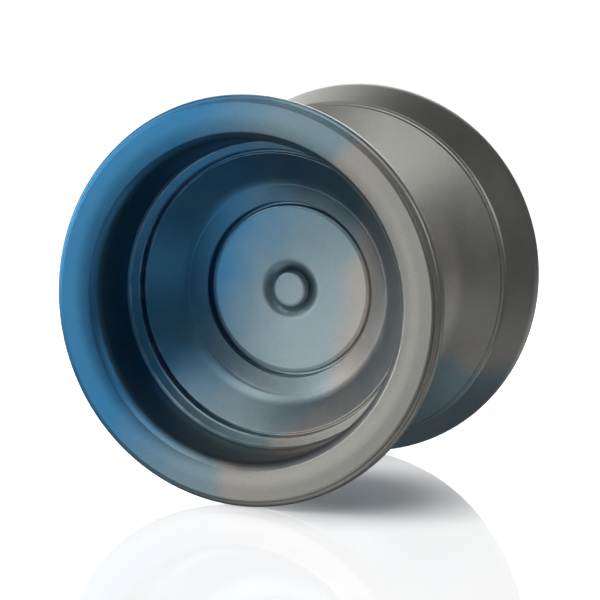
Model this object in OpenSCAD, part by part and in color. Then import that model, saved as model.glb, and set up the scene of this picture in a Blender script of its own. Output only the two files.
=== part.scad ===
// Unresponsive metal yo-yo, standing on both of its rims.
// The spin axis lies along Y, and the front cup opens towards -Y.

/* [Overall size] */
// Largest radius of a half, at the crown of its rim
rim_r = 27.5; // [27.2:0.05:28]
// Distance from the middle of the string gap to a rim face
face_z = 23.35; // [23.1:0.05:23.8]
// Half of the string gap, measured beside the bearing
gap_half = 2.2; // [2.1:0.05:2.5]

/* [Rim] */
// Half angle between the outer band of the rim and the spin axis
band_angle = 19; // [17:0.5:21]
// Radius where the catch zone ends in the two small steps
catch_r = 24.55; // [24.4:0.05:24.7]
// Distance of that radius from the middle of the gap
catch_z = 12.9; // [12.7:0.05:13.1]
// Radius of the mouth of the cup
mouth_r = 21.45; // [21.3:0.05:21.7]

/* [Cup] */
// Radius of the ledge at the foot of the cup's wall
ledge_r = 20.85; // [20.6:0.05:21]
// Radius of the fine groove round the cone of the cup
cone_r = 19.35; // [19.2:0.05:19.5]
// Radius of the hub disc, inside its groove
hub_r = 11.65; // [11.3:0.05:11.8]
// Distance of the hub disc's face from the middle of the gap
hub_z = 6.0; // [5.95:0.05:6.2]
// Radius of the nub in the middle of the hub disc
nub_r = 2.45; // [2.3:0.05:2.6]
// Distance of the nub's top from the middle of the gap
nub_z = 6.4; // [6.35:0.05:6.6]

/* [Bearing] */
// Bore radius of the quarter inch by half inch bearing
bearing_bore_r = 3.175; // [3.175]
// Outer radius of the bearing
bearing_outer_r = 6.35; // [6.35]
// Width of the bearing
bearing_w = 4.763; // [4.763]
// Diameter of one ball
ball_d = 1.588; // [1.588]
// Number of balls
ball_count = 10; // [10]
// Diameter of the circle through the middles of the balls
pitch_d = 9.525; // [9.525]

/* [Axle and response pads] */
// Thread radius of the axle, a grub screw
axle_r = 2.0; // [2.0]
// Length of the axle
axle_l = 10; // [9:0.5:10]
// Inner radius of a response pad
pad_in_r = 7.1; // [7.05:0.05:7.3]
// Outer radius of a response pad
pad_out_r = 9.6; // [9.4:0.05:9.8]
// Thickness of a response pad
pad_t = 1.0; // [0.8:0.05:1.05]

/* [Hidden] */

$fn = 96;
blue = "steelblue";
grey = "dimgray";
steel = "silver";

slip = 0.025;           // radial clearance between the bearing and its post
thread_slip = 0.05;     // radial clearance between the axle and a half
post_z = 0.1;           // the two bearing posts stop this far from the middle
seat_z = bearing_w / 2 + 0.02;
recess_r = bearing_outer_r + 0.25;
recess_z = seat_z + 0.25;
pad_floor_z = gap_half + 1.1;
bore_z = axle_l / 2 + 0.15;

seat_r = 3.95;          // the inner race is clamped between shoulders of this radius
race_in_r = 4.2;        // outer radius of the inner race
race_out_r = 5.3;       // inner radius of the outer race
track_r = ball_d / 2 + 0.02;
shield_r = 5.5;         // radius of the rebate that a shield drops into
shield_t = 0.12;
shield_z = bearing_w / 2 - 0.55;
wire_r = 0.13;          // wire radius of a snap ring
snap_r = shield_r + 0.12;
snap_z = shield_z + shield_t;

function ball_name(i) = str("ball_", i < 10 ? "0" : "", i);

// Points of an arc about (r, z), from angle a to angle b in n steps
function arc(r, z, radius, a, b, n) =
    [for (i = [0:n]) let (t = a + (b - a) * i / n) [r + radius * cos(t), z + radius * sin(t)]];

// Points from p to q that bow sideways by "bow" of the distance between them
function bowed(p, q, bow, n) =
    [for (i = [1:n - 1]) let (t = i / n, d = q - p) p + t * d + 4 * bow * t * (1 - t) * [-d[1], d[0]]];

// ---- profile of one half: [radius, distance from the middle of the gap] ----

// Bearing post, seat, recess and groove for the response pad
function hub_side() = [
    [axle_r + thread_slip, bore_z],
    [axle_r + thread_slip, post_z],
    [bearing_bore_r - slip - 0.2, post_z],
    [bearing_bore_r - slip, post_z + 0.2],
    [bearing_bore_r - slip, seat_z],
    [seat_r, seat_z],
    [seat_r, recess_z],
    [recess_r, recess_z],
    [recess_r, gap_half],
    [pad_in_r, gap_half],
    [pad_in_r, pad_floor_z],
    [pad_out_r, pad_floor_z],
    [pad_out_r, gap_half],
    [pad_out_r + 0.6, gap_half]];

catch_start = [pad_out_r + 0.6, gap_half];
catch_end = [catch_r, catch_z];

// Two hair-wide steps between the catch zone and the rim's outer band
function catch_steps() = [
    catch_end,
    catch_end + [0.12, 0.42],
    catch_end + [0.34, 0.60],
    catch_end + [0.40, 0.85],
    catch_end + [0.62, 1.16]];

crown_rho = 5.9;
crown_z = face_z - 1.13;
crown = arc(rim_r - crown_rho, crown_z, crown_rho, -band_angle, 0, 5);
edge_rho = 0.7;
edge = arc(rim_r - edge_rho, crown_z, edge_rho, 15, 90, 6);
// The face is flat, then it rolls over into the mouth of the cup
roll_rho = 8.8;
flat_r = 25.1;
lip_rho = 3.6;
lip_from = 42;
lip_to = 80;
roll_a = asin((flat_r - mouth_r - lip_rho * (sin(lip_to) - sin(lip_from))) / roll_rho);
lip_c = [flat_r - roll_rho * sin(roll_a) + lip_rho * sin(lip_from),
    face_z - roll_rho * (1 - cos(roll_a)) - lip_rho * cos(lip_from)];
function rim_face() = concat(
    [[rim_r - edge_rho - 0.02, face_z - 0.40],
     [rim_r - edge_rho - 0.10, face_z - 0.08],
     [26.45, face_z]],
    arc(flat_r, face_z - roll_rho, roll_rho, 90, 90 + roll_a, 7),
    arc(lip_c[0], lip_c[1], lip_rho, 90 + lip_from + 5, 90 + lip_to, 5));

// Inner wall, ledge, fine groove and cone of the cup
cone_start = [cone_r - 0.13, 12.17];
cone_end = [14.85, 7.76];
ring_bend = [14.2, 7.47];
function cup() = concat(
    [[ledge_r + 0.32, 13.92],
     [ledge_r, 13.54],
     [19.9, 13.19],
     [19.7, 13.01],
     [19.65, 11.65],
     [cone_r, 11.65],
     [cone_r, 12.05],
     cone_start],
    [cone_end],
    bowed(cone_end, ring_bend, -0.04, 3),
    [ring_bend,
     [12.3, 6.81],
     [12.17, 6.66],
     [12.17, 5.1]]);

// Hub disc with its rounded edge, the dished ring and the nub
dish_r = 4.35;
dish_d = 0.8;
function hub_face() = concat(
    [[hub_r + 0.08, 5.1],
     [hub_r + 0.02, hub_z - 0.12],
     [hub_r - 0.10, hub_z - 0.07],
     [hub_r - 0.5, hub_z]],
    [for (i = [0:8]) let (t = i / 8)
        [dish_r + (nub_r + 0.12 - dish_r) * t, hub_z - dish_d * (1 - cos(90 * t))]],
    [[nub_r, nub_z - 0.22],
     [nub_r - 0.12, nub_z - 0.06],
     [nub_r - 0.4, nub_z],
     [0, nub_z],
     [0, bore_z]]);

half_profile = concat(
    hub_side(),
    bowed(catch_start, catch_end, -0.02, 8),
    catch_steps(),
    crown,
    edge,
    rim_face(),
    cup(),
    hub_face());

// One half, its spin axis along Z and its rim face at the top
module half() {
    rotate_extrude() polygon(half_profile);
}

module toward_front() { rotate([90, 0, 0]) children(); }
module toward_rear() { rotate([-90, 0, 0]) children(); }

module front_half() { color(blue) toward_front() half(); }
module rear_half() { color(grey) toward_rear() half(); }

// Grub screw with a hex socket in each end, so that either half can hold it
module axle() {
    socket_across_flats = 2.0;
    socket_depth = 1.6;
    chamfer = 0.35;
    profile = [[0, -axle_l / 2], [axle_r - chamfer, -axle_l / 2],
        [axle_r, -axle_l / 2 + chamfer], [axle_r, axle_l / 2 - chamfer],
        [axle_r - chamfer, axle_l / 2], [0, axle_l / 2]];
    color(steel) toward_front() difference() {
        rotate_extrude() polygon(profile);
        for (s = [0, 1]) mirror([0, 0, s]) translate([0, 0, axle_l / 2 - socket_depth])
            cylinder(d = socket_across_flats / cos(30), h = socket_depth + 1, $fn = 6);
    }
}

// Ring of revolution with a rectangular section
module ring(inner_r, outer_r, low, high) {
    rotate_extrude() translate([inner_r, low]) square([outer_r - inner_r, high - low]);
}

// Soft ring glued into the groove beside the bearing
module response_pad() {
    ring(pad_in_r + 0.05, pad_out_r - 0.05, pad_floor_z - pad_t, pad_floor_z);
}
module front_response_pad() { color("white") toward_front() response_pad(); }
module rear_response_pad() { color("white") toward_rear() response_pad(); }

// Torus that the balls run in
module ball_track() {
    rotate_extrude() translate([pitch_d / 2, 0]) circle(r = track_r, $fn = 48);
}

module inner_race() {
    color(steel) toward_front() difference() {
        ring(bearing_bore_r, race_in_r, -bearing_w / 2, bearing_w / 2);
        ball_track();
    }
}

// The outer race carries the string: it is rebated at both sides for a shield and its snap ring
module outer_race() {
    color(steel) toward_front() difference() {
        ring(race_out_r, bearing_outer_r, -bearing_w / 2, bearing_w / 2);
        ball_track();
        for (s = [0, 1]) mirror([0, 0, s]) {
            ring(race_out_r - 1, shield_r, shield_z, bearing_w);
            ring(race_out_r - 1, snap_r, snap_z, snap_z + 2 * wire_r + 0.02);
        }
    }
}

// Ring with a pocket round each ball
module ball_cage() {
    pocket_r = ball_d / 2 + 0.03;
    color("gainsboro") toward_front() difference() {
        ring(pitch_d / 2 - 0.35, pitch_d / 2 + 0.35, -0.95, 0.95);
        for (i = [0:ball_count - 1]) rotate(i * 360 / ball_count) translate([pitch_d / 2, 0, 0])
            rotate([0, 90, 0]) cylinder(r = pocket_r, h = 2, center = true);
    }
}

module ball(i) {
    color(steel) toward_front() rotate((i - 1) * 360 / ball_count) translate([pitch_d / 2, 0, 0])
        sphere(d = ball_d, $fn = 48);
}

module shield() {
    ring(race_in_r + 0.1, shield_r - 0.02, shield_z, shield_z + shield_t);
}
module front_shield() { color(steel) toward_front() shield(); }
module rear_shield() { color(steel) toward_rear() shield(); }

// Open wire ring that holds a shield in the rebate of the outer race
module snap_ring() {
    opening = 24;
    rotate([0, 0, opening / 2]) rotate_extrude(angle = 360 - opening)
        translate([snap_r - wire_r - 0.01, snap_z + wire_r + 0.01])
            circle(r = wire_r, $fn = 24);
}
module front_snap_ring() { color(steel) toward_front() snap_ring(); }
module rear_snap_ring() { color(steel) toward_rear() snap_ring(); }

front_half();
rear_half();
axle();
front_response_pad();
rear_response_pad();
inner_race();
outer_race();
ball_cage();
front_shield();
rear_shield();
front_snap_ring();
rear_snap_ring();
for (i = [1:ball_count])
    ball(i);
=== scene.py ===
from math import acos, asin, atan2, cos, degrees, pi, radians, sin, tan

import bmesh
import bpy
from mathutils import Matrix, Vector


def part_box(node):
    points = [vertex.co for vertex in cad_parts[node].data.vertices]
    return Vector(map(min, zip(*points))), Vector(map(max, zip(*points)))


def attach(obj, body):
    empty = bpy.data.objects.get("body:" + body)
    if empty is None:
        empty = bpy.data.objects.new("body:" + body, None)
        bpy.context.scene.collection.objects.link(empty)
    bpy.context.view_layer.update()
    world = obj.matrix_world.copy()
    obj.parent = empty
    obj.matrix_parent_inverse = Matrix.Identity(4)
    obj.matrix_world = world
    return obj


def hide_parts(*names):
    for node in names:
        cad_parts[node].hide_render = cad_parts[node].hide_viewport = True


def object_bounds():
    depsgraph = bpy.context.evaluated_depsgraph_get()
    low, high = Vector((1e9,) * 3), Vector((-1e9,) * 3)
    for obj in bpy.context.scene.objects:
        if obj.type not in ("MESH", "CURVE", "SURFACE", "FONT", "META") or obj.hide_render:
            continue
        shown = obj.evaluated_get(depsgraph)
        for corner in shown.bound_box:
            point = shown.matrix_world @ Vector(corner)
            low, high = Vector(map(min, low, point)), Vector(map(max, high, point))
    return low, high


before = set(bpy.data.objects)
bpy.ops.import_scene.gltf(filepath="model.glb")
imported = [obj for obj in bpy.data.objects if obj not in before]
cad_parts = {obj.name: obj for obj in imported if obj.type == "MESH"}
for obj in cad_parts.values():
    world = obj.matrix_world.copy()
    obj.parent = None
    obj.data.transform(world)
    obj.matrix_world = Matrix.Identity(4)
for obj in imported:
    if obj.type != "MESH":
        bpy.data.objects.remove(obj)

cad_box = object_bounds()


# ---- Studio: a white sweep under and round the yo-yo, soft boxes, and the camera ----
# The sweep is one sheet of glossy white card, and its own glow burns it out to white. A dim spot in that glow
# is most of the shadow under the yo-yo, and the gloss gives a faint reflection.

class Wire:
    """A node's output. Arithmetic on it adds Math nodes, and node() adds any other kind of node."""

    def __init__(self, tree, output=None):
        self.tree, self.output = tree, output

    def node(self, kind, sockets=None, out=0, stops=(), **settings):
        made = self.tree.nodes.new(kind)
        for name, value in settings.items():
            setattr(made, name, value)
        if stops:
            ramp = made.color_ramp.elements
            ramp.remove(ramp[1])
            ramp[0].position, ramp[0].color = stops[0]
            for place, colour in stops[1:]:
                ramp.new(place).color = colour
        for name, value in (sockets or {}).items():
            if isinstance(value, Wire):
                self.tree.links.new(value.output, made.inputs[name])
            else:
                made.inputs[name].default_value = value
        return Wire(self.tree, made.outputs[out] if len(made.outputs) else None)

    def maths(self, operation, *values):
        return self.node("ShaderNodeMath", dict(enumerate(values)), operation=operation)

    def __add__(self, other):
        return self.maths("ADD", self, other)

    def __mul__(self, other):
        return self.maths("MULTIPLY", self, other)

    def __sub__(self, other):
        return self.maths("SUBTRACT", self, other)

    def __rsub__(self, other):
        return self.maths("SUBTRACT", other, self)

    def __truediv__(self, other):
        return self.maths("DIVIDE", self, other)

    def __rtruediv__(self, other):
        return self.maths("DIVIDE", other, self)

    __radd__, __rmul__ = __add__, __mul__

    def rise(self, low, high):
        """0 below low, 1 above high, and smooth between them; low may be the larger one."""
        return self.node("ShaderNodeMapRange", {"Value": self, "From Min": low, "From Max": high},
                         interpolation_type="SMOOTHSTEP")

    def mix(self, first, second):
        """The first colour where this is 0 and the second where it is 1."""
        return self.node("ShaderNodeMix", {0: self, 6: first, 7: second}, out=2, data_type="RGBA")


def material(name):
    made = bpy.data.materials.new(name)
    made.use_nodes = True
    made.node_tree.nodes.clear()
    return made, Wire(made.node_tree)


def new_tree(name, **inputs):
    """A geometry tree that takes a mesh and the named inputs. Returns it and a dict of those inputs."""
    tree = bpy.data.node_groups.new(name, "GeometryNodeTree")
    tree.interface.new_socket("Geometry", in_out="INPUT", socket_type="NodeSocketGeometry")
    for label, kind in inputs.items():
        tree.interface.new_socket(label, in_out="INPUT", socket_type="NodeSocket" + kind)
    tree.interface.new_socket("Material", in_out="INPUT", socket_type="NodeSocketMaterial")
    tree.interface.new_socket("Geometry", in_out="OUTPUT", socket_type="NodeSocketGeometry")
    start = tree.nodes.new("NodeGroupInput")
    return Wire(tree), {socket.name: Wire(tree, socket) for socket in start.outputs if socket.name}


SHARP_EDGE = radians(38)
WELD = 2e-7


def end_tree(shape, given):
    """The last nodes of a geometry tree: real faces, shaded smooth but for sharp edges, and their material."""
    doubles = shape.node("GeometryNodeMergeByDistance", {"Geometry": shape, "Distance": WELD})
    smooth = shape.node("GeometryNodeSetShadeSmooth", {"Geometry": doubles, "Shade Smooth": True},
                        domain="FACE")
    angle = shape.node("GeometryNodeInputMeshEdgeAngle")
    corner = shape.node("FunctionNodeCompare", {0: angle, 1: SHARP_EDGE}, data_type="FLOAT",
                        operation="GREATER_THAN")
    crisp = shape.node("GeometryNodeSetShadeSmooth", {"Geometry": smooth, "Selection": corner,
                                                     "Shade Smooth": False}, domain="EDGE")
    real = shape.node("GeometryNodeRealizeInstances", {"Geometry": crisp})
    coated = shape.node("GeometryNodeSetMaterial", {"Geometry": real, "Material": given["Material"]})
    shape.node("NodeGroupOutput", {"Geometry": coated})
    return shape.tree


def grown(name, mesh, tree, turn=0, **inputs):
    """A plain mesh object: what the geometry tree makes of the mesh, turned about X by that angle."""
    piece = bpy.data.objects.new(name, mesh)
    bpy.context.scene.collection.objects.link(piece)
    modifier = piece.modifiers.new("Shape", "NODES")
    modifier.node_group = tree
    for socket in tree.interface.items_tree:
        if socket.name in inputs:
            modifier[socket.identifier] = inputs[socket.name]
    evaluated = piece.evaluated_get(bpy.context.evaluated_depsgraph_get())
    result = bpy.data.meshes.new_from_object(evaluated)
    piece.modifiers.clear()
    shell = bmesh.new()
    shell.from_mesh(result)
    shell.transform(Matrix.Rotation(turn, 4, "X"))
    if shell.calc_volume(signed=True) < 0:
        bmesh.ops.reverse_faces(shell, faces=shell.faces)
    for face in shell.faces:
        face.material_index = 0
    shell.to_mesh(result)
    shell.free()
    result.materials.clear()
    result.materials.append(inputs["Material"])
    piece.data = result
    result.name = name
    return piece


LATHE_R = 0.001
MM = 0.001
TO_FRONT, TO_REAR = pi / 2, -pi / 2


def lathed(wire, given):
    """The mesh, as a profile, turned about Z. Its X is the radius, and its Y the height along the axis."""
    profile = wire.node("GeometryNodeMeshToCurve", {"Mesh": given["Geometry"]})
    path = wire.node("GeometryNodeCurvePrimitiveCircle",
                     {"Resolution": given["Segments"], "Radius": LATHE_R}, mode="RADIUS")
    return wire.node("GeometryNodeCurveToMesh", {"Curve": path, "Profile Curve": profile})


def lathe_tree():
    wire, given = new_tree("Turned", Segments="Int")
    return end_tree(lathed(wire, given), given)


turned_tree = lathe_tree()


def profile_mesh(name, profile, closed=False):
    """The edges of a profile, which is a list of (radius, height) in millimetres."""
    count = len(profile)
    mesh = bpy.data.meshes.new(name)
    edges = [(i, (i + 1) % count) for i in range(count if closed else count - 1)]
    mesh.from_pydata([(r * MM - LATHE_R, -h * MM, 0) for r, h in profile], edges, [])
    return mesh


def turned(name, profile, finish, turn=0, segments=200, closed=False):
    """A piece of revolution."""
    mesh = profile_mesh(name, profile, closed)
    return grown(name, mesh, turned_tree, turn, Segments=segments, Material=finish)


GLOSS_SHARE = 0.28
CARD_GLOW, FAR_GLOW = 0.82, 1.05
SPOT_PLACE = (0.010, -0.008, 0)
SPOT_EDGE, SPOT_CORE = 0.026, 0.006
CARD_EDGE, CARD_CORE = 0.40, 0.10


def sweep_finish():
    made, wire = material("glossy_white_card")
    place = wire.node("ShaderNodeTexCoord", out="Object")
    off = wire.node("ShaderNodeVectorMath", {0: place}, out="Value", operation="LENGTH")
    near = off.rise(CARD_EDGE, CARD_CORE)
    gloom = wire.node("ShaderNodeVectorMath", {0: place, 1: SPOT_PLACE}, out="Value",
                      operation="DISTANCE").rise(SPOT_EDGE, SPOT_CORE)
    card = wire.node("ShaderNodeBsdfDiffuse", {"Color": (0.86, 0.86, 0.87, 1)})
    gloss = wire.node("ShaderNodeBsdfGlossy", {"Color": (1, 1, 1, 1), "Roughness": 0.03})
    glow_colour = gloom.mix((1, 1, 1, 1), (0.10, 0.11, 0.12, 1))
    glow = wire.node("ShaderNodeEmission", {"Color": glow_colour, "Strength": CARD_GLOW})
    sheet = wire.node("ShaderNodeAddShader", {0: card, 1: glow})
    lit = wire.node("ShaderNodeMixShader", {0: GLOSS_SHARE, 1: sheet, 2: gloss})
    far = wire.node("ShaderNodeEmission", {"Color": (1, 1, 1, 1), "Strength": FAR_GLOW})
    faded = wire.node("ShaderNodeMixShader", {0: near, 1: far, 2: lit})
    wire.node("ShaderNodeOutputMaterial", {"Surface": faded})
    return made


floor_z = cad_box[0].z
sweep_profile = [(0, 0), (3000, 0), (4200, 600), (4500, 1500), (3800, 3300), (0, 4500)]
sweep = turned("sweep", sweep_profile, sweep_finish(), segments=96)
sweep.location.z = floor_z
sweep.visible_glossy = sweep.visible_diffuse = sweep.visible_shadow = False

# A least-squares fit in another program gave the camera's angles, distance, target and lens.
CAMERA_AZIMUTH, CAMERA_ELEVATION, CAMERA_ROLL = radians(21.50), radians(7.51), radians(1.1)
CAMERA_DISTANCE = 0.3446
CAMERA_LENS, CAMERA_SENSOR = 146.56, 36
CAMERA_TARGET = Vector((-0.00090, 0, -0.00230))


def toward(azimuth, elevation):
    """A step of 1 m that way. The front is at azimuth 0, and the right is at 90 degrees."""
    return Vector((sin(azimuth) * cos(elevation), -cos(azimuth) * cos(elevation), sin(elevation)))


back = toward(CAMERA_AZIMUTH, CAMERA_ELEVATION)
level = Vector((cos(CAMERA_AZIMUTH), sin(CAMERA_AZIMUTH), 0))
right = level * cos(CAMERA_ROLL) + back.cross(level) * sin(CAMERA_ROLL)
camera = bpy.data.objects.new("camera", bpy.data.cameras.new("camera"))
bpy.context.scene.collection.objects.link(camera)
camera.matrix_world = (Matrix.Translation(CAMERA_TARGET + back * CAMERA_DISTANCE)
                       @ Matrix((right, back.cross(right), back)).transposed().to_4x4())
camera.data.sensor_width = CAMERA_SENSOR
camera.data.lens = CAMERA_LENS
camera.data.clip_start, camera.data.clip_end = 0.01, 50
bpy.context.scene.camera = camera
bpy.context.scene.view_settings.view_transform = "Standard"


BOX_WIDTH, BOX_WATTS = 0.5, 2.467


def soft_box(azimuth, elevation, strength):
    """A round soft box, a metre off, that faces the yo-yo. Its angles are in degrees."""
    name = f"soft_box_{azimuth}_{elevation}"
    box = bpy.data.objects.new(name, bpy.data.lights.new(name, "AREA"))
    bpy.context.scene.collection.objects.link(box)
    box.location = toward(radians(azimuth), radians(elevation))
    box.rotation_euler = box.location.to_track_quat("Z", "Y").to_euler()
    box.data.shape, box.data.size = "DISK", BOX_WIDTH
    box.data.energy = BOX_WATTS * strength
    box.visible_camera = False


# Strong boxes on the left and above, weaker ones on the right, and low ones for what a white table throws back.
# These rows aren't designed by hand. Another program picked the places and solved for the strengths by least
# squares, so they are a table that a script here shouldn't hold, and a rig designed by hand should replace it.
for azimuth, elevation, strength in (
        (-77, 5, 1.07), (-60, 30, 0.59), (-26, 5, 0.37), (-45, 55, 0.16), (-135, 55, 0.18), (0, 55, 0.38),
        (0, 85, 0.22), (45, 55, 0.31), (90, 30, 0.35), (-60, -20, 0.09), (-30, -20, 0.17), (0, -20, 0.09),
        (60, -20, 0.09), (150, -20, 0.09), (0, -50, 0.18), (90, -50, 0.17)):
    soft_box(azimuth, elevation, strength)

# The sweep hides the world from the camera, so the world only lights the yo-yo and shows in its reflections.
# It is dim grey, also from that fit, with a bright patch of wall behind the yo-yo.
AIR, WALL = (0.104, 0.104, 0.104, 1), (2.2, 2.2, 2.2, 1)
WALL_WAY = (-0.36, 0.92, 0.13)
world = bpy.data.worlds.new("studio")
bpy.context.scene.world = world
world.use_nodes = True
world.node_tree.nodes.clear()
sky = Wire(world.node_tree)
way = sky.node("ShaderNodeTexCoord", out="Generated")
toward_wall = sky.node("ShaderNodeVectorMath", {0: way, 1: WALL_WAY}, out="Value", operation="DOT_PRODUCT")
air = toward_wall.rise(0.88, 0.97).mix(AIR, WALL)
shell = sky.node("ShaderNodeBackground", {"Color": air, "Strength": 1.0})
sky.node("ShaderNodeOutputWorld", {"Surface": shell})


# ---- The two halves ----
# Each half is turned from one piece of aluminium bar, bead-blasted, and anodised with a blue dye that fades to
# grey. They screw together on the axle, and each has the same profile.

def arc(r, z, radius, first, last, steps):
    angles = [radians(first + (last - first) * i / steps) for i in range(steps + 1)]
    return [(r + radius * cos(a), z + radius * sin(a)) for a in angles]


def bowed(p, q, bow, steps):
    """The points between p and q on a line that bows sideways by that share of its length."""
    dr, dz = q[0] - p[0], q[1] - p[1]
    points = []
    for i in range(1, steps):
        t = i / steps
        aside = 4 * bow * t * (1 - t)
        points.append((p[0] + t * dr - aside * dz, p[1] + t * dz + aside * dr))
    return points


def eased(points, closed=False, steps=3, rest=0.07):
    """A profile whose corners, given as (radius, height, corner radius), are broken by small arcs.
    A further point beside each end of an arc keeps the flat next to it flat."""
    out = []
    for i, point in enumerate(points):
        here = Vector(point[:2])
        inner = closed or 0 < i < len(points) - 1
        if len(point) < 3 or not inner:
            out.append(tuple(here))
            continue
        a = Vector(points[i - 1][:2]) - here
        b = Vector(points[(i + 1) % len(points)][:2]) - here
        half = a.angle(b) / 2
        reach = min(point[2] / tan(half), 0.4 * a.length, 0.4 * b.length)
        radius = reach * tan(half)
        centre = here + (a.normalized() + b.normalized()).normalized() * radius / sin(half)
        start, end = here + a.normalized() * reach - centre, here + b.normalized() * reach - centre
        first = atan2(start.y, start.x)
        swing = (atan2(end.y, end.x) - first + pi) % (2 * pi) - pi
        before = here + a.normalized() * min(reach + rest, 0.48 * a.length)
        after = here + b.normalized() * min(reach + rest, 0.48 * b.length)
        ring = arc(centre.x, centre.y, radius, degrees(first), degrees(first + swing), steps)
        out += [tuple(before), *ring, tuple(after)]
    return out


corner_low, corner_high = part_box("front_half")
rim_r, face_z = corner_high.x / MM, -corner_low.y / MM
GAP_HALF = 2.2
POST_END = -corner_high.y / MM

bearing_side = [
    (0, 5.15), (2.05, 5.15, 0.05), (2.05, POST_END, 0.12), (2.95, POST_END, 0.04), (3.15, POST_END + 0.2, 0.06),
    (3.15, 2.40, 0.03), (3.95, 2.40, 0.04), (3.95, 2.65, 0.03), (6.6, 2.65, 0.06), (6.6, GAP_HALF, 0.07),
    (7.1, GAP_HALF, 0.07), (7.1, 3.3, 0.06), (9.6, 3.3, 0.06), (9.6, GAP_HALF, 0.10)]

CATCH_START, CATCH_END = (10.2, GAP_HALF), (24.55, 12.9)
catch_zone = [
    (*CATCH_START, 0.5), *bowed(CATCH_START, CATCH_END, -0.02, 24), (*CATCH_END, 0.05),
    (24.67, 13.32, 0.05), (24.89, 13.50, 0.06), (24.95, 13.75, 0.05), (25.17, 14.06, 0.08)]

CROWN_RHO, EDGE_RHO, ROLL_RHO, FLAT_R, LIP_RHO, MOUTH_R = 5.9, 0.7, 8.8, 25.1, 3.6, 21.45
LIP_FROM, LIP_TO = radians(42), radians(80)
ROLL_A = asin((FLAT_R - MOUTH_R - LIP_RHO * (sin(LIP_TO) - sin(LIP_FROM))) / ROLL_RHO)
crown_z = face_z - 1.13
lip = (FLAT_R - ROLL_RHO * sin(ROLL_A) + LIP_RHO * sin(LIP_FROM),
       face_z - ROLL_RHO * (1 - cos(ROLL_A)) - LIP_RHO * cos(LIP_FROM))
rim = [
    *arc(rim_r - CROWN_RHO, crown_z, CROWN_RHO, -19, 0, 10),
    *arc(rim_r - EDGE_RHO, crown_z, EDGE_RHO, 15, 86, 8),
    (rim_r - EDGE_RHO - 0.02, face_z - 0.40, 0.03), (rim_r - EDGE_RHO - 0.10, face_z - 0.08, 0.05),
    (26.45, face_z, 0.15),
    *arc(FLAT_R, face_z - ROLL_RHO, ROLL_RHO, 90, 90 + degrees(ROLL_A), 14)[:-1],
    (FLAT_R - ROLL_RHO * sin(ROLL_A), face_z - ROLL_RHO * (1 - cos(ROLL_A)), 0.45),
    *arc(*lip, LIP_RHO, 90 + degrees(LIP_FROM) + 8, 90 + degrees(LIP_TO), 8)]

LEDGE_R, LEDGE_IN_R = 20.85, 19.7
CONE_START, CONE_END, RING_BEND = (19.22, 12.17), (14.85, 7.76), (14.2, 7.47)
cup = [
    (21.17, 13.92, 0.12), (LEDGE_R, 13.54, 0.05), (19.9, 13.19, 0.06), (LEDGE_IN_R, 13.01, 0.05),
    (19.65, 11.65, 0.08), (19.35, 11.65, 0.08), (19.35, 12.05, 0.05), (*CONE_START, 0.06),
    *bowed(CONE_START, CONE_END, 0.0, 4), CONE_END,
    *bowed(CONE_END, RING_BEND, -0.04, 4), RING_BEND,
    (12.3, 6.81, 0.06), (12.17, 6.66, 0.04), (12.17, 5.1, 0.1)]

HUB_R, HUB_Z, NUB_R, NUB_Z, DISH_R, DISH_D = 11.65, 6.0, 2.45, 6.4, 4.35, 0.8
DISH_STEPS = 14
dish_width = DISH_R - (NUB_R + 0.12)
dish_shares = [i / DISH_STEPS for i in range(DISH_STEPS + 1)]
hub = [
    (HUB_R + 0.08, 5.1, 0.1), (HUB_R + 0.02, HUB_Z - 0.12, 0.04), (HUB_R - 0.10, HUB_Z - 0.07, 0.06),
    (HUB_R - 0.5, HUB_Z, 0.6), (DISH_R + 0.3, HUB_Z),
    *[(DISH_R - dish_width * t, HUB_Z - DISH_D * (1 - cos(pi / 2 * t))) for t in dish_shares],
    (NUB_R, NUB_Z - 0.22, 0.06), (NUB_R - 0.12, NUB_Z - 0.06, 0.06), (NUB_R - 0.4, NUB_Z, 0.1), (0, NUB_Z)]

half_profile = eased(bearing_side + catch_zone + rim + cup + hub)


def places(wire):
    """The place on the surface, its X, Y and Z, and its distance from the spin axis."""
    place = wire.node("ShaderNodeTexCoord", out="Object")
    x, y, z = [wire.node("ShaderNodeSeparateXYZ", {0: place}, out=i) for i in range(3)]
    level = wire.node("ShaderNodeCombineXYZ", {0: x, 2: z})
    return place, x, y, z, wire.node("ShaderNodeVectorMath", {0: level}, out="Value", operation="LENGTH")


FRONT, REAR = -1, 1
WALL_FOOT, WALL_TOP = 13.8, 14.5
# Radius and half width of each paler edge in the cup: partly wear, partly a painted highlight
WORN_AND_HIGHLIT_EDGES = ((HUB_R - 0.1, 0.16), (CONE_START[0], 0.12), (LEDGE_IN_R, 0.12), (LEDGE_R, 0.14),
              (NUB_R - 0.2, 0.14))
catch_slope = (CATCH_END[1] - CATCH_START[1]) / (CATCH_END[0] - CATCH_START[0])


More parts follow.
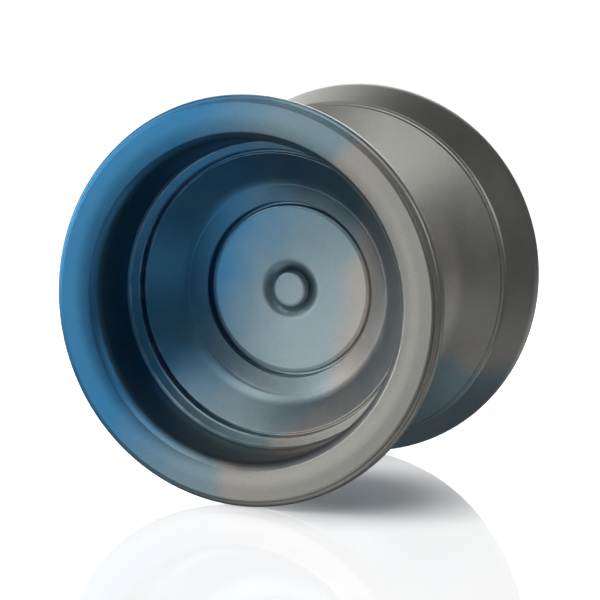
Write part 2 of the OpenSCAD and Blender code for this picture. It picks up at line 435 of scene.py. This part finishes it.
def anodised(name, side, turn_of_fade, shift_of_fade):
    """Blue dye that fades to grey along X, after the fade is turned by that angle about the spin axis."""
    made, wire = material(name)
    place, x, y, z, radius = places(wire)

    def noise(scale, detail=3.0, rough=0.5, **more):
        return wire.node("ShaderNodeTexNoise", {"Vector": place, "Scale": scale, "Detail": detail,
                                               "Roughness": rough, **more})
    clouds = noise(70, 3.0, 0.55)
    blots = noise(330, 4.0, 0.6)
    grain = noise(4200, 2.0, 0.65)
    across = (x * cos(turn_of_fade) + z * sin(turn_of_fade) - shift_of_fade
              + (clouds - 0.5) * 0.016 + (blots - 0.5) * 0.003)
    depth = face_z * MM - y * side
    away = wire.maths("ABSOLUTE", y)

    # The lower right of the cup is painted paler: painted light, where the rim doesn't shade it. The wall under
    # the mouth is painted darker: painted shade in that recess.
    in_cup = radius.rise(0.0205, 0.0190) * x.rise(-0.012, 0.0)
    painted_light_in_cup = (x * 0.5 - z * 0.86 + (clouds - 0.5) * 0.01).rise(-0.007, 0.011) * in_cup
    painted_shade_on_wall = radius.rise((MOUTH_R + 0.5) * MM, (MOUTH_R + 0.25) * MM) * away.rise(WALL_FOOT * MM, WALL_TOP * MM)
    blue = (0.045, 0.235, 0.46, 1)
    grey = painted_light_in_cup.mix((0.385, 0.385, 0.36, 1), (0.58, 0.56, 0.52, 1))
    teal = painted_light_in_cup.mix((0.23, 0.34, 0.39, 1), (0.45, 0.57, 0.62, 1))
    warm = painted_light_in_cup.mix((0.405, 0.388, 0.368, 1), (0.60, 0.55, 0.51, 1))
    dyed = across.rise(-0.021, -0.003).mix(blue, teal)
    bare = across.rise(0.0, 0.012).mix(warm, grey)
    colour = (across - depth * 0.25).rise(-0.0020, 0.0020).mix(dyed, bare)

    # The edges of the cup's steps and of the rim are paler: partly metal rubbed bare by handling, partly
    # painted highlights along those edges.
    catch_height = (radius - CATCH_START[0] * MM) * catch_slope + CATCH_START[1] * MM
    cup_side = (away - catch_height).rise(0.0008, 0.0016)
    rubbed = 0.0
    for edge_r, width in WORN_AND_HIGHLIT_EDGES:
        beside = wire.maths("ABSOLUTE", radius - edge_r * MM)
        rubbed = wire.maths("MAXIMUM", rubbed, beside.rise(width * MM, 0.0))
    rubbed = rubbed * cup_side + radius.rise((rim_r - 0.25) * MM, rim_r * MM) * 0.7
    rubbed = rubbed * blots.rise(0.30, 0.62) * 0.5
    mottle = (blots * 0.4 + grain * 0.6).rise(0.30, 0.70)
    uneven = mottle.mix((0.91, 0.91, 0.91, 1), (1.09, 1.09, 1.09, 1))
    # Painted shade: the wall under the mouth's lip is painted darker.
    painted_wall_shade = painted_shade_on_wall.mix((1, 1, 1, 1), (0.72, 0.55, 0.48, 1))
    for layer in (uneven, painted_wall_shade):
        colour = wire.node("ShaderNodeMix", {0: 1.0, 6: colour, 7: layer}, out=2, data_type="RGBA",
                           blend_type="MULTIPLY")
    # Paler edges: partly wear, partly painted highlights.
    colour = rubbed.mix(colour, (0.62, 0.64, 0.64, 1))
    rings = wire.node("ShaderNodeTexNoise", {"W": radius, "Scale": 2600.0, "Detail": 2.0},
                      noise_dimensions="1D")
    height = grain * 0.7 + rings * 0.3
    bump = wire.node("ShaderNodeBump", {"Height": height, "Strength": 0.35, "Distance": 0.00004})
    rough = 0.40 + (blots - 0.5) * 0.10 + (grain - 0.5) * 0.08 - rubbed * 0.12
    metal = wire.node("ShaderNodeBsdfPrincipled", {"Base Color": colour, "Metallic": 1.0, "Roughness": rough,
                                                   "Normal": bump, "Coat Weight": 0.3, "Coat Roughness": 0.4})
    wire.node("ShaderNodeOutputMaterial", {"Surface": metal})
    return made


front_dye = anodised("blue_dye_front", FRONT, radians(-18.6), 0.0046)
front_half = turned("front_half_turned", half_profile, front_dye, TO_FRONT)
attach(front_half, "front_half")
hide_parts("front_half")

rear_dye = anodised("blue_dye_rear", REAR, radians(86), -0.0140)
rear_half = turned("rear_half_turned", half_profile, rear_dye, TO_REAR)
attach(rear_half, "rear_half")
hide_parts("rear_half")


# ---- Bearing ----
# A quarter inch by half inch ball bearing. Its races are hardened steel, ground and polished. The inner one is
# clamped between the halves, and the outer one carries the string. Ten balls run in a ribbon cage.

def bearing_steel(name, colour, smooth, rough):
    """Ground steel, with fine lines round the axis, and smears of oil on it."""
    made, wire = material(name)
    place, _, y, _, radius = places(wire)
    lines = wire.node("ShaderNodeTexNoise", {"W": radius + y, "Scale": 9000.0, "Detail": 3.0},
                      noise_dimensions="1D")
    smears = wire.node("ShaderNodeTexNoise", {"Vector": place, "Scale": 480.0, "Detail": 4.0,
                                              "Distortion": 0.8})
    tint = (smears * 0.6 + lines * 0.4).rise(0.3, 0.7)
    dark = tuple(0.80 * c for c in colour[:3]) + (1,)
    metal = wire.node("ShaderNodeBsdfPrincipled", {
        "Base Color": tint.mix(dark, colour), "Metallic": 1.0,
        "Roughness": smears.rise(0.3, 0.7) * (rough - smooth) + smooth,
        "Normal": wire.node("ShaderNodeBump", {"Height": lines, "Strength": 0.15, "Distance": 0.00001})})
    wire.node("ShaderNodeOutputMaterial", {"Surface": metal})
    return made


def place_on(piece, body, slot, *nodes):
    """The piece rides on that body, and stands for those nodes of the frame."""
    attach(piece, body)
    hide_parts(*nodes)


race_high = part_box("outer_race")[1]
RACE_HALF_W, RACE_R, BORE_R = race_high.y / MM, race_high.x / MM, 3.175
PITCH_R, BALL_R = 9.525 / 2, 1.588 / 2
TRACK_R = BALL_R + 0.02
race_steel = bearing_steel("ground_race_steel", (0.66, 0.66, 0.67, 1), 0.14, 0.26)

INNER_LAND, OUTER_LAND, REBATE_R, REBATE_Z, SHIELD_T = 4.2, 5.3, 5.5, RACE_HALF_W - 0.55, 0.12
inner_swing = degrees(acos((PITCH_R - INNER_LAND) / TRACK_R))
inner_profile = eased([
    (BORE_R, -RACE_HALF_W, 0.14), (INNER_LAND, -RACE_HALF_W, 0.08),
    *arc(PITCH_R, 0, TRACK_R, 180 + inner_swing, 180 - inner_swing, 16),
    (INNER_LAND, RACE_HALF_W, 0.08), (BORE_R, RACE_HALF_W, 0.14)], closed=True)
inner_race = turned("inner_race_ground", inner_profile, race_steel, TO_FRONT, 144, closed=True)
place_on(inner_race, "front_half", "race_steel", "inner_race")

outer_swing = degrees(acos((OUTER_LAND - PITCH_R) / TRACK_R))
SNAP_GROOVE, SNAP_TOP = 0.12, 0.40
rebate = [(REBATE_R, RACE_HALF_W, 0.04), (REBATE_R, REBATE_Z + SNAP_TOP),
          (REBATE_R + SNAP_GROOVE, REBATE_Z + SNAP_TOP), (REBATE_R + SNAP_GROOVE, REBATE_Z + SHIELD_T),
          (REBATE_R, REBATE_Z + SHIELD_T), (REBATE_R, REBATE_Z),
          (OUTER_LAND, REBATE_Z, 0.03)]
outer_profile = eased([
    (RACE_R, RACE_HALF_W, 0.16), *rebate,
    *arc(PITCH_R, 0, TRACK_R, outer_swing, -outer_swing, 16),
    *[(p[0], -p[1], *p[2:]) for p in reversed(rebate)], (RACE_R, -RACE_HALF_W, 0.16)], closed=True)
outer_race = turned("outer_race_ground", outer_profile, race_steel, TO_FRONT, 192, closed=True)
place_on(outer_race, "string_race", "race_steel", "outer_race")


def cage_tree():
    """A ribbon that waves over the balls, the same one turned over below them, and rivets between."""
    wire, given = new_tree("Ribbon cage", **{"Balls": "Int", "Pitch radius": "Float", "Reach": "Float",
                                             "Width": "Float", "Thickness": "Float"})
    circle = wire.node("GeometryNodeCurvePrimitiveCircle",
                       {"Resolution": 480, "Radius": given["Pitch radius"]}, mode="RADIUS")
    spot = wire.node("GeometryNodeInputPosition")
    x, y = [wire.node("ShaderNodeSeparateXYZ", {0: spot}, out=i) for i in range(2)]
    angle = wire.maths("ARCTAN2", y, x)
    step = 2 * pi / given["Balls"]
    beside = (wire.maths("FRACT", angle / step + 0.5) - 0.5) * step * given["Pitch radius"]
    squared = given["Reach"] * given["Reach"] - beside * beside
    rise = wire.maths("SQRT", wire.maths("MAXIMUM", squared, 0.0))
    height = wire.maths("MAXIMUM", rise, given["Thickness"] * 0.52)
    waved = wire.node("GeometryNodeSetPosition", {"Geometry": circle, "Offset": wire.node(
        "ShaderNodeCombineXYZ", {2: height})})
    upright = wire.node("GeometryNodeSetCurveNormal", {"Curve": waved}, mode="Z_UP")
    strip = wire.node("GeometryNodeCurvePrimitiveQuadrilateral",
                      {"Width": given["Width"], "Height": given["Thickness"]}, mode="RECTANGLE")
    ribbon = wire.node("GeometryNodeCurveToMesh", {"Curve": upright, "Profile Curve": strip})
    under = wire.node("GeometryNodeTransform", {"Geometry": ribbon, "Rotation": (pi, 0, 0)})
    between = wire.node("GeometryNodeTransform", {
        "Geometry": wire.node("GeometryNodeMeshCircle", {"Vertices": given["Balls"],
                                                         "Radius": given["Pitch radius"]}),
        "Rotation": wire.node("ShaderNodeCombineXYZ", {2: step * 0.5})})
    rivet = wire.node("GeometryNodeMeshUVSphere", {"Segments": 16, "Rings": 8,
                                                   "Radius": given["Thickness"] * 1.6})
    rivets = wire.node("GeometryNodeInstanceOnPoints", {"Points": between, "Instance": rivet})
    join = wire.node("GeometryNodeJoinGeometry")
    for part in (ribbon, under, rivets):
        wire.tree.links.new(part.output, join.output.node.inputs[0])
    return end_tree(join, given)


def ball_tree():
    wire, given = new_tree("Balls", **{"Balls": "Int", "Pitch radius": "Float", "Ball radius": "Float"})
    ring = wire.node("GeometryNodeMeshCircle", {"Vertices": given["Balls"], "Radius": given["Pitch radius"]})
    ball = wire.node("GeometryNodeMeshUVSphere", {"Segments": 40, "Rings": 20,
                                                  "Radius": given["Ball radius"]})
    return end_tree(wire.node("GeometryNodeInstanceOnPoints", {"Points": ring, "Instance": ball}), given)


BALLS = 10
CAGE_WIDTH, CAGE_T = 0.62, 0.11
cage_steel = bearing_steel("stamped_cage_steel", (0.55, 0.53, 0.49, 1), 0.28, 0.42)
cage = grown("ribbon_cage", bpy.data.meshes.new("ribbon_cage"), cage_tree(), TO_FRONT, **{
    "Balls": BALLS, "Pitch radius": PITCH_R * MM, "Reach": (BALL_R + 0.09) * MM, "Width": CAGE_WIDTH * MM,
    "Thickness": CAGE_T * MM, "Material": cage_steel})
place_on(cage, "ball_set", "cage_steel", "ball_cage")
balls = grown("bearing_balls", bpy.data.meshes.new("bearing_balls"), ball_tree(), TO_FRONT, **{
    "Balls": BALLS, "Pitch radius": PITCH_R * MM, "Ball radius": BALL_R * MM,
    "Material": bearing_steel("polished_ball_steel", (0.74, 0.74, 0.75, 1), 0.06, 0.14)})
place_on(balls, "ball_set", "ball_steel", *[f"ball_{i:02d}" for i in range(1, BALLS + 1)])


# ---- Shields and snap rings ----
# A thin stamped steel washer closes each side of the bearing. It drops into a rebate of the outer race, and an
# open ring of spring wire snaps into a groove over it.

SHIELD_IN_R, SHIELD_OUT_R, SHIELD_STEP = 4.30, REBATE_R - 0.02, 0.03
shield_top = REBATE_Z + SHIELD_T
shield_profile = eased([
    (SHIELD_IN_R, REBATE_Z + SHIELD_STEP, 0.02), (4.62, REBATE_Z + SHIELD_STEP, 0.03), (4.74, REBATE_Z, 0.03),
    (SHIELD_OUT_R, REBATE_Z, 0.02), (SHIELD_OUT_R, shield_top - SHIELD_STEP, 0.02),
    (4.76, shield_top - SHIELD_STEP, 0.03), (4.64, shield_top, 0.03), (SHIELD_IN_R, shield_top, 0.03)],
    closed=True, rest=0.02)
shield_steel = bearing_steel("stamped_shield_steel", (0.60, 0.60, 0.61, 1), 0.24, 0.36)


def snap_ring_tree():
    wire, given = new_tree("Snap ring", **{"Radius": "Float", "Wire radius": "Float", "Gap": "Float",
                                           "Height": "Float"})
    line = wire.node("GeometryNodeCurveArc", {
        "Resolution": 128, "Radius": given["Radius"],
        "Start Angle": given["Gap"] * 0.5, "Sweep Angle": 2 * pi - given["Gap"]})
    section = wire.node("GeometryNodeCurvePrimitiveCircle",
                        {"Resolution": 16, "Radius": given["Wire radius"]}, mode="RADIUS")
    bent = wire.node("GeometryNodeCurveToMesh", {"Curve": line, "Profile Curve": section, "Fill Caps": True})
    return end_tree(wire.node("GeometryNodeTransform", {"Geometry": bent, "Translation": wire.node(
        "ShaderNodeCombineXYZ", {2: given["Height"]})}), given)


SNAP_WIRE, SNAP_PLAY = 0.13, 0.01
SNAP_GAP = radians(24)
snap_tree = snap_ring_tree()
snap_steel = bearing_steel("drawn_snap_wire", (0.42, 0.42, 0.43, 1), 0.22, 0.34)
for side, turn in (("front", TO_FRONT), ("rear", TO_REAR)):
    shield = turned(side + "_shield_stamped", shield_profile, shield_steel, turn, 144, closed=True)
    place_on(shield, "string_race", "shield_steel", side + "_shield")
    snap = grown(side + "_snap_wire", bpy.data.meshes.new(side + "_snap_wire"), snap_tree, turn, **{
        "Radius": (REBATE_R + SNAP_GROOVE - SNAP_WIRE - SNAP_PLAY) * MM, "Wire radius": SNAP_WIRE * MM,
        "Gap": SNAP_GAP, "Height": (shield_top + SNAP_WIRE + SNAP_PLAY) * MM, "Material": snap_steel})
    place_on(snap, "string_race", "snap_steel", side + "_snap_ring")


# ---- Response pads ----
# Soft white silicone rings that grip the string, one in each half. They are moulded flat, and glued into the
# groove round the bearing seat.

def silicone():
    made, wire = material("white_silicone")
    place = wire.node("ShaderNodeTexCoord", out="Object")
    dust = wire.node("ShaderNodeTexNoise", {"Vector": place, "Scale": 900.0, "Detail": 5.0, "Roughness": 0.65})
    skin = wire.node("ShaderNodeTexNoise", {"Vector": place, "Scale": 6000.0, "Detail": 2.0})
    rubbed = wire.node("ShaderNodeTexNoise", {"Vector": place, "Scale": 260.0, "Detail": 2.0}).rise(0.35, 0.7)
    grey, white = (0.70, 0.70, 0.69, 1), (0.86, 0.87, 0.86, 1)
    soft = wire.node("ShaderNodeBsdfPrincipled", {
        "Base Color": dust.rise(0.30, 0.52).mix(grey, white), "Roughness": rubbed * 0.18 + 0.50,
        "Normal": wire.node("ShaderNodeBump", {"Height": skin * 0.6 + dust * 0.4, "Strength": 0.3,
                                               "Distance": 0.00003})})
    wire.node("ShaderNodeOutputMaterial", {"Surface": soft})
    return made


pad_low, pad_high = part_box("rear_response_pad")
PAD_IN_R, PAD_OUT_R, PAD_FLOOR = 7.15, pad_high.x / MM, pad_high.y / MM
pad_brim = pad_low.y / MM + 0.07
pad_profile = eased([
    (PAD_IN_R, PAD_FLOOR, 0.05), (PAD_IN_R, pad_brim, 0.14),
    *bowed((PAD_IN_R, pad_brim), (PAD_OUT_R, pad_brim), -0.028, 8),
    (PAD_OUT_R, pad_brim, 0.14), (PAD_OUT_R, PAD_FLOOR, 0.05)], closed=True)
pad_silicone = silicone()
for side, turn, body in (("front", TO_FRONT, "front_half"), ("rear", TO_REAR, "rear_thread")):
    pad = turned(side + "_pad_moulded", pad_profile, pad_silicone, turn, 160, closed=True)
    place_on(pad, body, "silicone", side + "_response_pad")


# ---- Axle ----
# A grub screw of hardened steel, blackened, with a rolled thread and a hex socket in each end. It is screwed
# into the front half to stay, and the rear half screws onto it.

RIDGE_TURN = -pi / 2
RIDGE_HEIGHT, RIDGE_FOOT, RIDGE_CREST = 0.54, 0.74, 0.125


def axle_tree():
    """The mesh is the core's profile, with round sockets that become hexagons. The thread is a ridge on a
    spiral round it, and its sizes are shares of the pitch."""
    wire, given = new_tree("Threaded rod", **{"Segments": "Int", "Radius": "Float", "Pitch": "Float",
                                              "Thread length": "Float", "Socket radius": "Float"})
    core = lathed(wire, given)
    spot = wire.node("GeometryNodeInputPosition")
    x, y = [wire.node("ShaderNodeSeparateXYZ", {0: spot}, out=i) for i in range(2)]
    level = wire.node("ShaderNodeCombineXYZ", {0: x, 1: y})
    radius = wire.node("ShaderNodeVectorMath", {0: level}, out="Value", operation="LENGTH")
    sixth = wire.maths("FRACT", wire.maths("ARCTAN2", y, x) / (pi / 3) + 1.0) - 0.5
    hexagon = 1 / wire.maths("COSINE", sixth * (pi / 3))
    inside = wire.maths("LESS_THAN", radius, given["Socket radius"] * 1.05)
    factor = 1 + inside * (hexagon - 1)
    stretch = wire.node("ShaderNodeCombineXYZ", {0: factor, 1: factor, 2: 1.0})
    core = wire.node("GeometryNodeSetPosition", {"Geometry": core, "Position": wire.node(
        "ShaderNodeVectorMath", {0: spot, 1: stretch}, operation="MULTIPLY")})
    middle_r = given["Radius"] - given["Pitch"] * (RIDGE_HEIGHT / 2)
    spiral = wire.node("GeometryNodeCurveSpiral", {
        "Resolution": 64, "Rotations": given["Thread length"] / given["Pitch"],
        "Start Radius": middle_r, "End Radius": middle_r, "Height": given["Thread length"], "Reverse": True})
    upright = wire.node("GeometryNodeSetCurveNormal", {"Curve": spiral}, mode="Z_UP")
    ridge = wire.node("GeometryNodeCurvePrimitiveQuadrilateral", {
        "Height": given["Pitch"] * RIDGE_HEIGHT, "Bottom Width": given["Pitch"] * RIDGE_FOOT,
        "Top Width": given["Pitch"] * RIDGE_CREST, "Offset": 0.0}, mode="TRAPEZOID")
    outward = wire.node("GeometryNodeTransform", {"Geometry": ridge, "Rotation": (0, 0, RIDGE_TURN)})
    thread = wire.node("GeometryNodeCurveToMesh", {"Curve": upright, "Profile Curve": outward,
                                                   "Fill Caps": True})
    thread = wire.node("GeometryNodeFlipFaces", {"Mesh": thread})
    middle = wire.node("GeometryNodeTransform", {"Geometry": thread, "Translation": wire.node(
        "ShaderNodeCombineXYZ", {2: given["Thread length"] * -0.5})})
    join = wire.node("GeometryNodeJoinGeometry")
    for part in (core, middle):
        wire.tree.links.new(part.output, join.output.node.inputs[0])
    return end_tree(join, given)


def blackened_steel():
    made, wire = material("blackened_axle_steel")
    place, _, _, _, radius = places(wire)
    patches = wire.node("ShaderNodeTexNoise", {"Vector": place, "Scale": 1500.0, "Detail": 4.0,
                                               "Roughness": 0.6})
    worn = (radius / MM).rise(AXLE_R - 0.2, AXLE_R) * patches.rise(0.38, 0.62)
    black, faded, bright = (0.060, 0.060, 0.066, 1), (0.10, 0.098, 0.10, 1), (0.46, 0.46, 0.47, 1)
    metal = wire.node("ShaderNodeBsdfPrincipled", {
        "Base Color": worn.mix(patches.rise(0.2, 0.8).mix(black, faded), bright), "Metallic": 1.0,
        "Roughness": 0.42 - worn * 0.16 + (patches - 0.5) * 0.12,
        "Normal": wire.node("ShaderNodeBump", {"Height": patches, "Strength": 0.2, "Distance": 0.00002})})
    wire.node("ShaderNodeOutputMaterial", {"Surface": metal})
    return made


axle_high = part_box("axle")[1]
AXLE_R, AXLE_HALF, PITCH, SOCKET_R, SOCKET_Z = axle_high.x / MM, axle_high.y / MM, 0.7, 1.0, 3.4
# The thread is a little shallower than the ridge is high, so the ridge's foot sinks into the core.
THREAD_DEPTH, THREAD_END = 0.36, 0.55
ROOT_R = AXLE_R - THREAD_DEPTH
half_core = [(0, SOCKET_Z), (SOCKET_R, SOCKET_Z), (SOCKET_R, AXLE_HALF, 0.06), (1.38, AXLE_HALF, 0.08),
             (ROOT_R, AXLE_HALF - 0.22, 0.05)]
core_profile = eased([(p[0], -p[1], *p[2:]) for p in half_core] + half_core[::-1])
axle = grown("axle_threaded", profile_mesh("axle", core_profile), axle_tree(), TO_FRONT, **{
    "Segments": 96, "Radius": AXLE_R * MM, "Pitch": PITCH * MM,
    "Thread length": 2 * (AXLE_HALF - THREAD_END) * MM, "Socket radius": SOCKET_R * MM,
    "Material": blackened_steel()})
place_on(axle, "front_half", "axle_steel", "axle")
